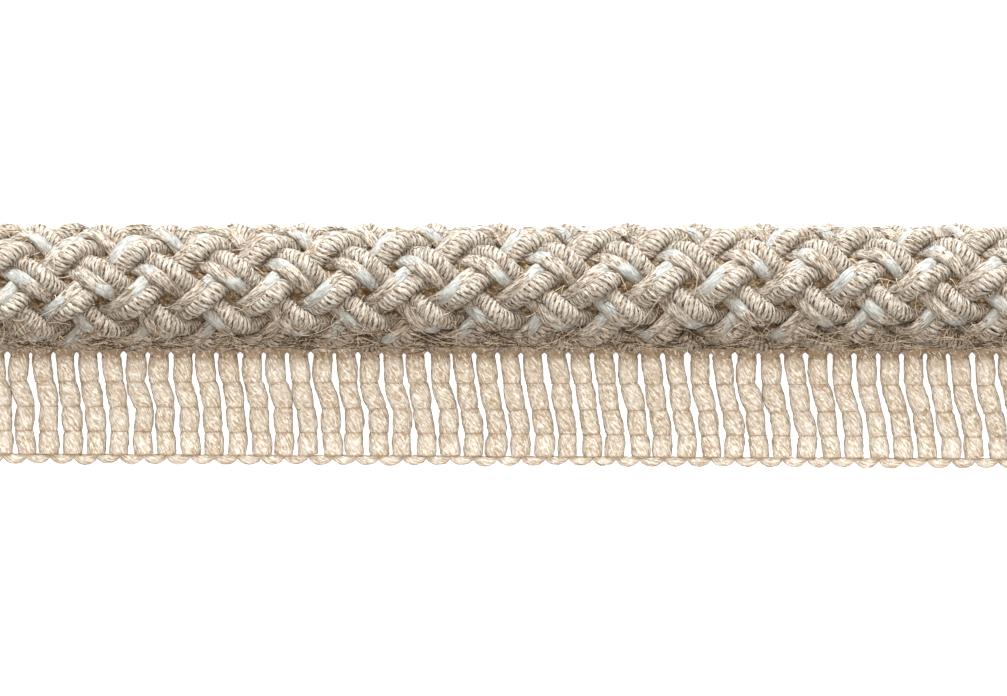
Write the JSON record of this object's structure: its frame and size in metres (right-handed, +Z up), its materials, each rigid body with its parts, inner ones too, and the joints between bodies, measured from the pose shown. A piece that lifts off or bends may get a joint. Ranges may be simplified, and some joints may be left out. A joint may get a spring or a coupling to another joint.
{
  "type": "decorative cord with sewing lip",
  "caption": "Cut length of braided decorative cord with a flat knitted sewing lip along one side, lying straight.",
  "frame": {"origin": "middle of the length and of the width, on the surface that the cord lies on", "axes": "+X along the cord, +Y from the lip towards the cord, +Z up"},
  "size_m": [0.1006, 0.0229, 0.0119],
  "materials": {
    "cord_yarn": "matt twisted yarn, taupe beige with pale grey roving",
    "lip_yarn": "soft cream yarn with a slight sheen"
  },
  "bodies": {
    "root": {"braided_cord": "cord_yarn", "sewing_lip": "lip_yarn"}
  },
  "joints": []
}
